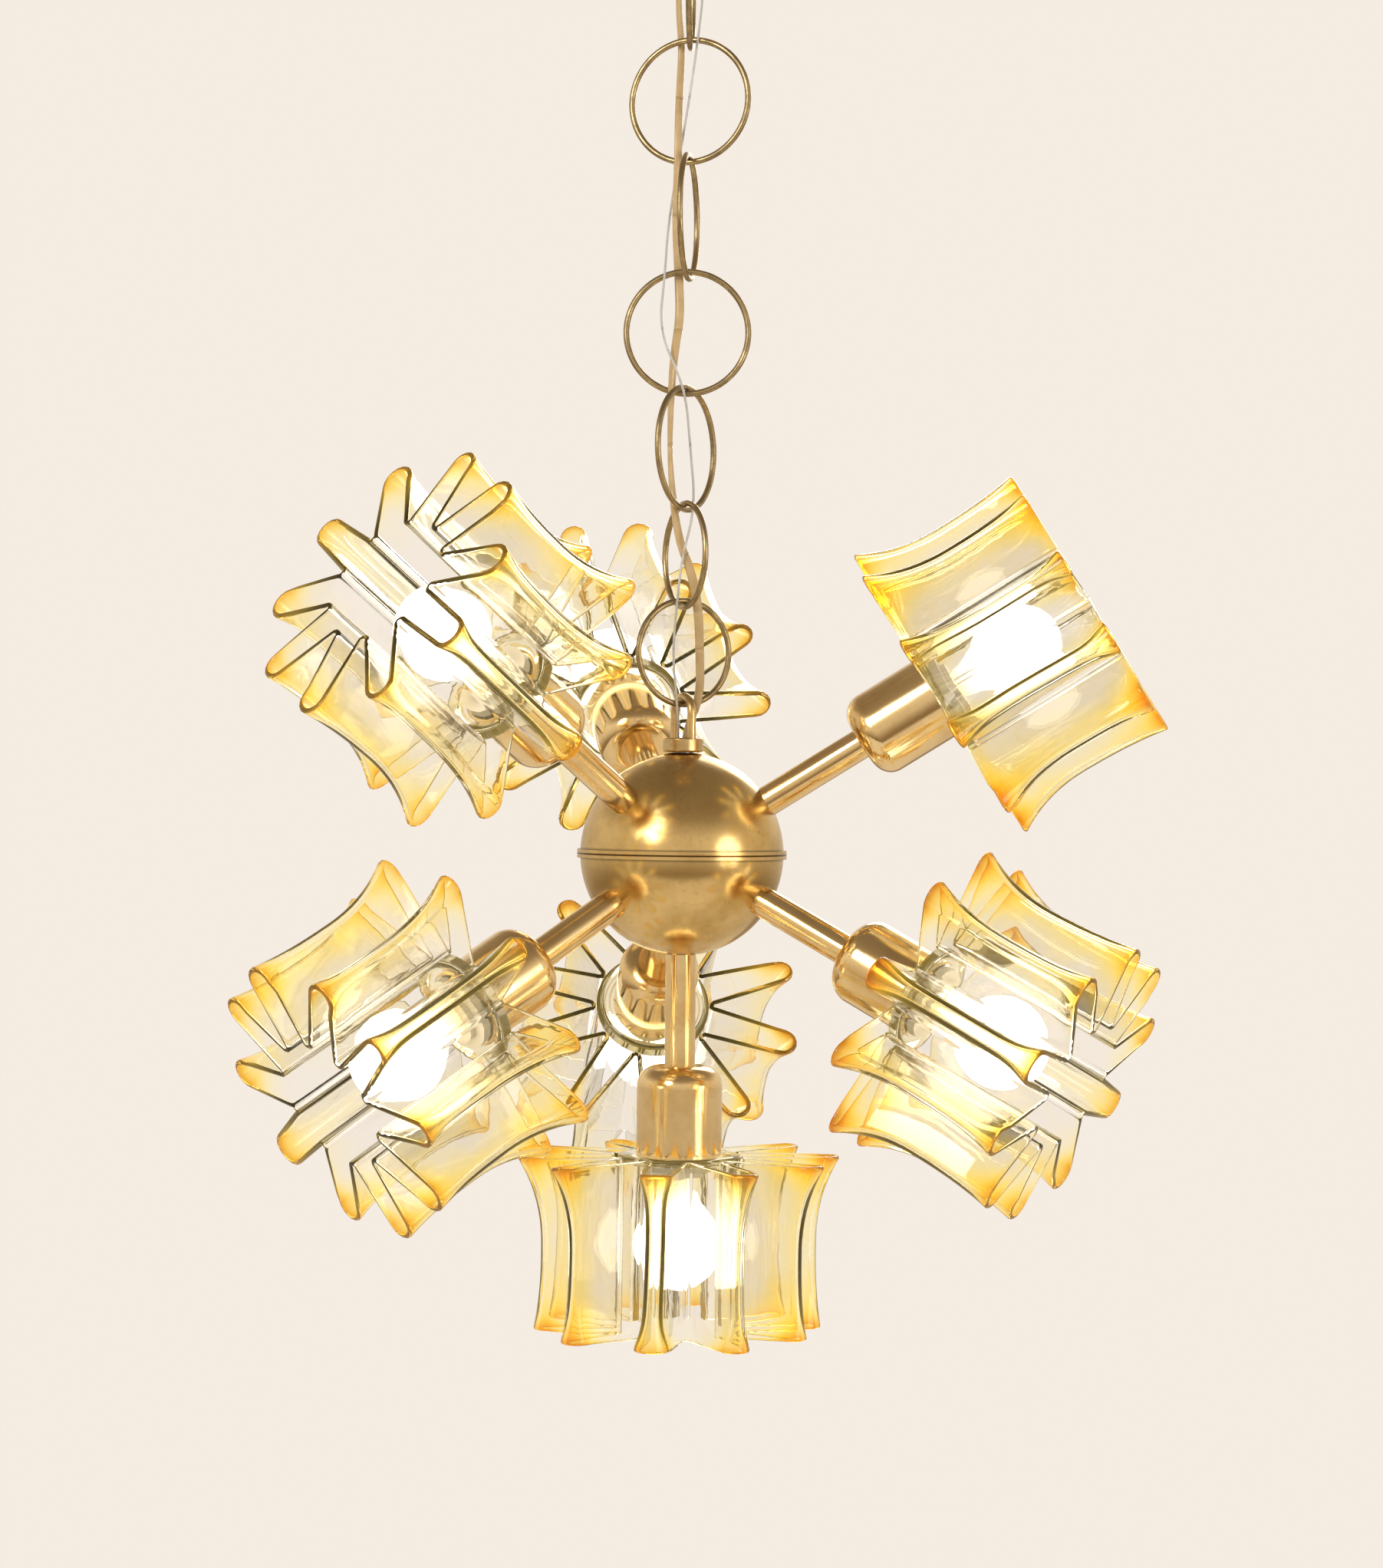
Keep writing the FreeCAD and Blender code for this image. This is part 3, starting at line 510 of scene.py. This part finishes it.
def pleatedShade(arm):
    s = shade
    draw = random.Random("shade " + arm)
    pleats = []
    for index in range(s["pleats"]):
        wobble = math.radians(draw.uniform(-s["turnSpread"], s["turnSpread"]))
        pleats.append({
            "angle": 2 * math.pi * index / s["pleats"] + wobble,
            "lean": math.radians(draw.uniform(-s["leanSpread"], s["leanSpread"])),
            "reach": draw.uniform(-s["radiusSpread"], s["radiusSpread"] * 0.5),
            "phase": draw.uniform(0, 1),
            "fat": draw.uniform(*s["fatRange"]),
            "tint": draw.uniform(*s["tintRange"]),
            "endIn": draw.uniform(*s["endInRange"]) * mm,
            "endOut": draw.uniform(*s["endOutRange"]) * mm,
        })
    shares = []
    for step in range(s["stations"]):
        even = step / (s["stations"] - 1)
        shares.append(0.5 - 0.5 * math.cos(math.pi * even) * (0.75 + 0.25 * abs(2 * even - 1)))
    first = pleatOutline(0.0, pleats)
    bm = bmesh.new()
    amberLayer = bm.verts.layers.float.new("amber")
    ring = bmesh.ops.create_circle(bm, cap_ends=False, radius=s["waist"], segments=len(first))["verts"]
    ring.sort(key=lambda vertex: math.atan2(vertex.co.y, vertex.co.x))
    edges = list(bm.edges)

    def settle(vertices, share):
        outline = pleatOutline(share, pleats)
        for vertex, (point, ridge, index) in zip(vertices, outline):
            pleat = pleats[index]
            ends = pleat["endIn"] * (1 - share) ** 6 + pleat["endOut"] * share ** 6
            height = share * s["length"] + ends * ridge
            vertex.co = (point.x, point.y, height)
            nearIn = math.exp(-share / s["fadeIn"]) * innerTint[arm]
            nearOut = math.exp(-(1 - share) / s["fadeOut"]) * outerTint[arm]
            rimIn = math.exp(-share / s["rimFadeIn"]) * innerTint[arm]
            rimOut = math.exp(-(1 - share) / s["rimFadeOut"]) * outerTint[arm]
            amount = ridge ** 3 * (0.50 * nearIn + 0.50 * nearOut) * pleat["tint"]
            amount += (0.10 + 0.25 * ridge) * (rimIn + rimOut) + 0.12 * ridge ** 4
            vertex[amberLayer] = min(1.0, amount)

    settle(ring, shares[0])
    for share in shares[1:]:
        grown = bmesh.ops.extrude_edge_only(bm, edges=edges)["geom"]
        fresh = [item for item in grown if isinstance(item, bmesh.types.BMVert)]
        order = {}
        for vertex in fresh:
            for edge in vertex.link_edges:
                other = edge.other_vert(vertex)
                if other not in fresh:
                    order[other] = vertex
        ring = [order[vertex] for vertex in ring]
        edges = [item for item in grown if isinstance(item, bmesh.types.BMEdge)
                 and item.verts[0] in fresh and item.verts[1] in fresh]
        settle(ring, share)
    bmesh.ops.recalc_face_normals(bm, faces=bm.faces)
    piece = meshObject("pleatedGlass_" + arm, bm)
    solidify = piece.modifiers.new("wall", "SOLIDIFY")
    solidify.thickness = s["wall"]
    solidify.offset = 0
    bevel = piece.modifiers.new("firePolish", "BEVEL")
    bevel.width = 0.9 * mm
    bevel.segments = 3
    bevel.limit_method = "ANGLE"
    bevel.angle_limit = math.radians(60)
    return piece


def shadeFloor(arm):
    # flat collar of glass between the cup's rim and the clamping ring
    s = shade
    reach = s["valley"] - s["wall"] / 2 - 0.3 * mm
    bm = spunMesh([(s["hole"], 0), (reach, 0), (reach, s["floor"]), (s["hole"], s["floor"]),
                   (s["hole"], 0)], 72)
    amberLayer = bm.verts.layers.float.new("amber")
    for vertex in bm.verts:
        vertex[amberLayer] = 0.12
    return meshObject("glassFloor_" + arm, bm)


for arm in armNames:
    place = armMatrix(arm, math.radians(shadeTurn[arm])) @ Matrix.Translation((0, 0, shade["start"]))
    for piece in (pleatedShade(arm), shadeFloor(arm)):
        piece.data.materials.append(amberGlass)
        piece.data.transform(place)
        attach(piece, "lamp_body")
        if piece.name.startswith("pleated"):
            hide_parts("glass_shade_" + arm)
print("pleated shades done")

# lamps
lamp = {
    "capStart": 138.0 * mm,
    "capTop": 158.6 * mm,
    "capRadius": 6.9 * mm,
    "threadPitch": 2.82 * mm,
    "globe": 22.5 * mm,
    "centre": 192.0 * mm,
    "neck": 8.6 * mm,
}


def lampPieces(arm):
    s = lamp
    globe = [(s["capRadius"] - 0.6 * mm, s["capTop"] - 2 * mm), (s["neck"] - 0.5 * mm, s["capTop"] + 0.4 * mm),
             (s["neck"], s["capTop"] + 1.6 * mm)]
    start = math.radians(-42)
    meet = Vector((s["globe"] * math.cos(start), s["centre"] + s["globe"] * math.sin(start)))
    low = Vector(globe[-1])
    for step in range(1, 8):
        t = step / 8
        pull = Vector((s["neck"] + 0.6 * mm, low.y + 8 * mm))
        point = low * (1 - t) ** 2 + pull * 2 * t * (1 - t) + meet * t ** 2
        globe.append((point.x, point.y))
    for step in range(33):
        swing = start + (math.pi / 2 - start) * step / 32
        globe.append((max(s["globe"] * math.cos(swing), 0.0), s["centre"] + s["globe"] * math.sin(swing)))
    bm = spunMesh(globe, 64)
    glowLayer = bm.verts.layers.float.new("glow")
    for vertex in bm.verts:
        height = (vertex.co.z - s["capTop"]) / (s["centre"] - s["capTop"])
        vertex[glowLayer] = min(1.0, max(0.0, height * 1.6))
    glass = meshObject("lampGlobe_" + arm, bm)
    glass.data.materials.append(lampGlow)
    thread = [(0.0, s["capStart"]), (2.0 * mm, s["capStart"]), (4.6 * mm, s["capStart"] + 1.6 * mm)]
    steps = 48
    low = s["capStart"] + 2.4 * mm
    span = s["capTop"] - 1.2 * mm - low
    for step in range(steps + 1):
        height = low + span * step / steps
        wave = 0.5 - 0.5 * math.cos(2 * math.pi * (height - low) / s["threadPitch"])
        thread.append((s["capRadius"] - 0.75 * mm * wave, height))
    thread += [(s["capRadius"] + 0.1 * mm, s["capTop"] - 0.8 * mm), (s["capRadius"] + 0.2 * mm, s["capTop"]),
               (s["capRadius"] - 0.8 * mm, s["capTop"] + 0.2 * mm)]
    cap = meshObject("lampCap_" + arm, spunMesh(thread, 48))
    cap.data.materials.append(metals["fittingBrass"])
    return glass, cap


for arm in armNames:
    glass, cap = lampPieces(arm)
    for piece in (glass, cap):
        piece.data.transform(armMatrix(arm))
        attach(piece, "bulb_%s_turn" % arm)
    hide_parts("bulb_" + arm)
print("lamps done")

# cords down the chain: heights above the ball's centre, in millimetres, as in the solids
flexRoute = [
    (-1.3, 0.0, 526.0),
    (-1.1, 0.2, 505.0),
    (-1.3, -0.1, 485.0),
    (-0.5, 0.4, 470.0),
    (-6.2, -6.5, 453.0),
    (-5.6, -5.2, 436.0),
    (-6.0, 1.5, 416.0),
    (-4.1, 7.4, 398.0),
    (-4.9, 4.0, 379.0),
    (-5.5, -2.0, 359.0),
    (-5.4, -3.6, 340.0),
    (-6.2, 0.8, 312.0),
    (-4.4, 5.2, 284.0),
    (-3.6, 2.6, 264.0),
    (-6.4, -3.0, 245.0),
    (-7.6, -5.0, 226.0),
    (-8.2, -1.5, 198.0),
    (-5.8, 0.4, 170.0),
    (-2.6, 0.3, 153.0),
    (3.4, -1.4, 138.0),
    (6.8, -2.4, 121.0),
    (7.8, -0.6, 98.0),
    (8.2, -1.4, 77.0),
    (1.2, -0.8, 60.0),
    (1.1, -0.3, 46.0),
    (1.3, 0.0, 32.0),
]
earthRoute = [
    (2.6, 0.0, 526.0),
    (2.8, 0.2, 500.0),
    (2.5, -0.1, 470.0),
    (4.8, -5.1, 450.0),
    (6.4, -1.4, 425.0),
    (3.6, -4.4, 398.0),
    (-0.5, -5.1, 368.0),
    (-5.2, 6.2, 341.0),
    (-10.0, 4.0, 311.0),
    (-11.3, -3.6, 284.0),
    (-14.0, -4.6, 256.0),
    (-0.7, -10.6, 228.0),
    (2.2, -8.4, 198.0),
    (4.8, -2.7, 170.0),
    (-1.4, -3.6, 146.0),
    (-3.8, -6.2, 122.0),
    (-5.6, -3.8, 98.0),
    (-3.4, -6.3, 77.0),
    (-2.3, -1.3, 58.0),
    (-2.4, 0.4, 45.0),
    (-2.6, 0.0, 32.0),
]
# the bodies that the cords pass, from the ceiling down, and the height at which one hands over to the next
ringMiddle = {number: (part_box("chain_ring_%d" % number)[0].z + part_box("chain_ring_%d" % number)[1].z) / 2
              for number in range(1, 8)}


def smoothLine(route):
    curve = bpy.data.curves.new("route", "CURVE")
    curve.dimensions = "3D"
    spline = curve.splines.new("NURBS")
    spline.points.add(len(route) - 1)
    for point, (x, y, z) in zip(spline.points, route):
        point.co = (x * mm, y * mm, ballHeight + z * mm, 1)
    spline.order_u = 3
    spline.use_endpoint_u = True
    spline.resolution_u = 12
    helper = bpy.data.objects.new("route", curve)
    bpy.context.scene.collection.objects.link(helper)
    mesh = bpy.data.meshes.new_from_object(helper)
    line = [vertex.co.copy() for vertex in mesh.vertices]
    bpy.data.objects.remove(helper)
    bpy.data.curves.remove(curve)
    bpy.data.meshes.remove(mesh)
    return line


def section(width, thickness, corners):
    # outline of a cord's section: two cores side by side where it is wider than thick
    points = []
    for step in range(corners):
        angle = 2 * math.pi * step / corners
        waist = 1 - 0.22 * (1 - thickness / width) * math.exp(-(math.cos(angle) / 0.35) ** 2)
        high = thickness / 2 * math.sin(angle)
        if width > thickness:
            high = high * waist * 1.12
        points.append((width / 2 * math.cos(angle), high))
    return points


def cordPieces(name, route, width, thickness, corners, twist, material):
    line = smoothLine(route)
    cuts = [line[0].z + 1] + [ringMiddle[number] for number in range(7, 0, -1)] + [line[-1].z - 1]
    outline = section(width, thickness, corners)
    across = Vector((1, 0, 0))
    frames = []
    travelled = 0.0
    for index, point in enumerate(line):
        before = line[max(index - 1, 0)]
        after = line[min(index + 1, len(line) - 1)]
        ahead = (after - before).normalized()
        across = (across - ahead * across.dot(ahead)).normalized()
        travelled += (point - before).length
        angle = twist * math.sin(travelled * 19) + travelled * 14 * (1 if twist else 0)
        turned = Matrix.Rotation(angle, 3, ahead) @ across
        frames.append((point, turned, ahead.cross(turned)))
    # shared stations on each hand-over height keep the pieces end to end
    made = []
    for index in range(len(cuts) - 1):
        upper, lower = cuts[index], cuts[index + 1]
        inside = [k for k, item in enumerate(frames) if lower <= item[0].z <= upper]
        first = max(inside[0] - 1, 0)
        last = len(frames) - 1 if index == len(cuts) - 2 else inside[-1]
        run = frames[first:last + 1]
        bm = bmesh.new()
        bmesh.ops.create_circle(bm, cap_ends=True, radius=width / 2, segments=corners)
        face = bm.faces[:][0]
        ring = list(face.verts)
        for vertex, (x, y) in zip(ring, outline):
            vertex.co = run[0][0] + run[0][1] * x + run[0][2] * y
        for point, right, up in run[1:]:
            grown = bmesh.ops.extrude_face_region(bm, geom=[face])["geom"]
            newFace = [item for item in grown if isinstance(item, bmesh.types.BMFace)][0]
            fresh = set(newFace.verts)
            ordered = [next(edge.other_vert(vertex) for edge in vertex.link_edges
                            if edge.other_vert(vertex) in fresh) for vertex in ring]
            # the old end stays only as the cord's first cap
            if face.is_valid and point is not run[1][0]:
                bmesh.ops.delete(bm, geom=[face], context="FACES_ONLY")
            face = newFace
            ring = ordered
            for vertex, (x, y) in zip(ring, outline):
                vertex.co = point + right * x + up * y
        bmesh.ops.recalc_face_normals(bm, faces=bm.faces)
        piece = meshObject("%s_%d" % (name, index + 1), bm)
        piece.data.materials.append(material)
        made.append((piece, [item[0] for item in run], index))
    return made


def hangCord(name, node, route, width, thickness, corners, twist, material):
    # each piece ends on the next one, and the last one in the rod's bore
    for piece, path, index in cordPieces(name, route, width, thickness, corners, twist, material):
        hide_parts(node)
        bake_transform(piece)
    print(name, "hung")


hangCord("goldFlex", "flex", flexRoute, 4.5 * mm, 2.5 * mm, 20, 0.5, flexSleeve)
hangCord("earthWire", "earth_wire", earthRoute, 1.2 * mm, 1.2 * mm, 10, 0.0, earthSleeve)

# floor, light and background
studio = {
    "floorDrop": 0.86,
    "floorHalf": 1.65,
    "cream": (0.913, 0.838, 0.760, 1),
    "floorColour": (0.80, 0.75, 0.69, 1),
    "roomColour": (0.95, 0.90, 0.84, 1),
    "worldLight": 0.75,
    # what the metal mirrors, from straight down to straight up
    "mirrorTones": [(0.0, (0.16, 0.11, 0.07, 1)), (0.32, (0.28, 0.20, 0.12, 1)), (0.48, (0.72, 0.64, 0.54, 1)),
                    (0.66, (0.86, 0.78, 0.68, 1)), (0.82, (0.34, 0.27, 0.20, 1)), (1.0, (0.24, 0.19, 0.14, 1))],
}


def addFloor():
    bm = bmesh.new()
    bmesh.ops.create_grid(bm, x_segments=8, y_segments=8, size=studio["floorHalf"])
    floor = meshObject("paleFloor", bm)
    floor.data.transform(Matrix.Translation((0, 0, ballHeight - studio["floorDrop"])))
    material, nodes, links, shader = newMaterial("paleFloorPaint")
    shader.inputs["Base Color"].default_value = studio["floorColour"]
    shader.inputs["Roughness"].default_value = 0.8
    floor.data.materials.append(material)


def addWorld():
    world = bpy.data.worlds.new("creamRoom")
    bpy.context.scene.world = world
    world.use_nodes = True
    nodes, links = world.node_tree.nodes, world.node_tree.links
    nodes.clear()
    out = nodes.new("ShaderNodeOutputWorld")
    seen = nodes.new("ShaderNodeBackground")
    seen.inputs["Color"].default_value = studio["cream"]
    seen.inputs["Strength"].default_value = 1.0
    lit = nodes.new("ShaderNodeBackground")
    lit.inputs["Color"].default_value = studio["roomColour"]
    lit.inputs["Strength"].default_value = studio["worldLight"]
    path = nodes.new("ShaderNodeLightPath")
    either = mathNode(nodes, links, "MAXIMUM", (path.outputs["Is Camera Ray"],
                                                path.outputs["Is Transmission Ray"]))
    # metal sees the same room, darker below and above
    direction = nodes.new("ShaderNodeTexCoord")
    split = nodes.new("ShaderNodeSeparateXYZ")
    links.new(direction.outputs["Generated"], split.inputs["Vector"])
    height = rangeNode(nodes, links, split.outputs["Z"], (-1, 1))
    mirrored = nodes.new("ShaderNodeBackground")
    links.new(rampNode(nodes, links, height, studio["mirrorTones"]), mirrored.inputs["Color"])
    mirrored.inputs["Strength"].default_value = 1.0
    first = nodes.new("ShaderNodeMixShader")
    links.new(path.outputs["Is Glossy Ray"], first.inputs["Fac"])
    links.new(lit.outputs["Background"], first.inputs[1])
    links.new(mirrored.outputs["Background"], first.inputs[2])
    last = nodes.new("ShaderNodeMixShader")
    links.new(either, last.inputs["Fac"])
    links.new(first.outputs["Shader"], last.inputs[1])
    links.new(seen.outputs["Background"], last.inputs[2])
    links.new(last.outputs["Shader"], out.inputs["Surface"])


def addSoftLight(name, place, size, power, colour):
    data = bpy.data.lights.new(name, "AREA")
    data.shape = "DISK"
    data.size = size
    data.energy = power
    data.color = colour
    light = bpy.data.objects.new(name, data)
    bpy.context.scene.collection.objects.link(light)
    towards = ballCentre - Vector(place)
    light.matrix_world = Matrix.Translation(place) @ towards.to_track_quat("-Z", "Y").to_matrix().to_4x4()


addFloor()
addWorld()
addSoftLight("keyLight", (-1.1, -1.6, ballHeight + 0.9), 0.8, 14, (1.0, 0.97, 0.92))
addSoftLight("fillLight", (1.5, -1.1, ballHeight + 0.1), 1.0, 7, (1.0, 0.95, 0.88))
addSoftLight("backLight", (0.4, 1.6, ballHeight + 0.8), 0.9, 8, (1.0, 0.96, 0.9))

bpy.context.scene.view_settings.view_transform = "Standard"
print("floor, light and background done")
